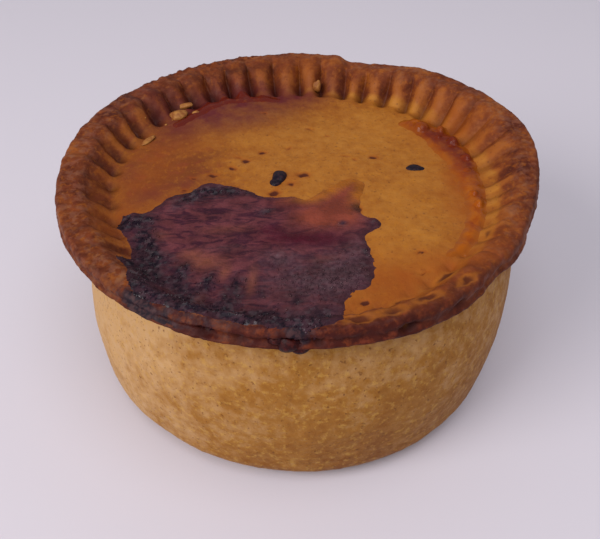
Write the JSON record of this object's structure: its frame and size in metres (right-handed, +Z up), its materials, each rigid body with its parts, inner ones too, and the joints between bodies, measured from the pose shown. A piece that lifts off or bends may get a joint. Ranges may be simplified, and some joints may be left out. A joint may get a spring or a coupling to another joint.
{
  "type": "lamb hotpot pie",
  "caption": "Hand-raised hotpot pie with a sunken pastry lid, a crimped rim and a patch of burnt gravy; it stands on its flat base.",
  "frame": {"origin": "centre of the bounding box, on the flat base", "axes": "+Z up from the base to the lid, -Y towards the front that the picture shows, +X to its right"},
  "size_m": [0.1126, 0.1126, 0.0556],
  "materials": {
    "baked_crust": "baked pastry, golden brown with darker crimps and mottling, faintly greasy",
    "burnt_gravy": "thin skin of gravy boiled over and burnt, satin, dark purple brown",
    "gravy_glaze": "wet orange gravy and fat, glossy",
    "pastry_crumb": "dry baked crumbs, pale gold"
  },
  "bodies": {
    "root": {"raised_pie": "baked_crust"}
  },
  "joints": []
}
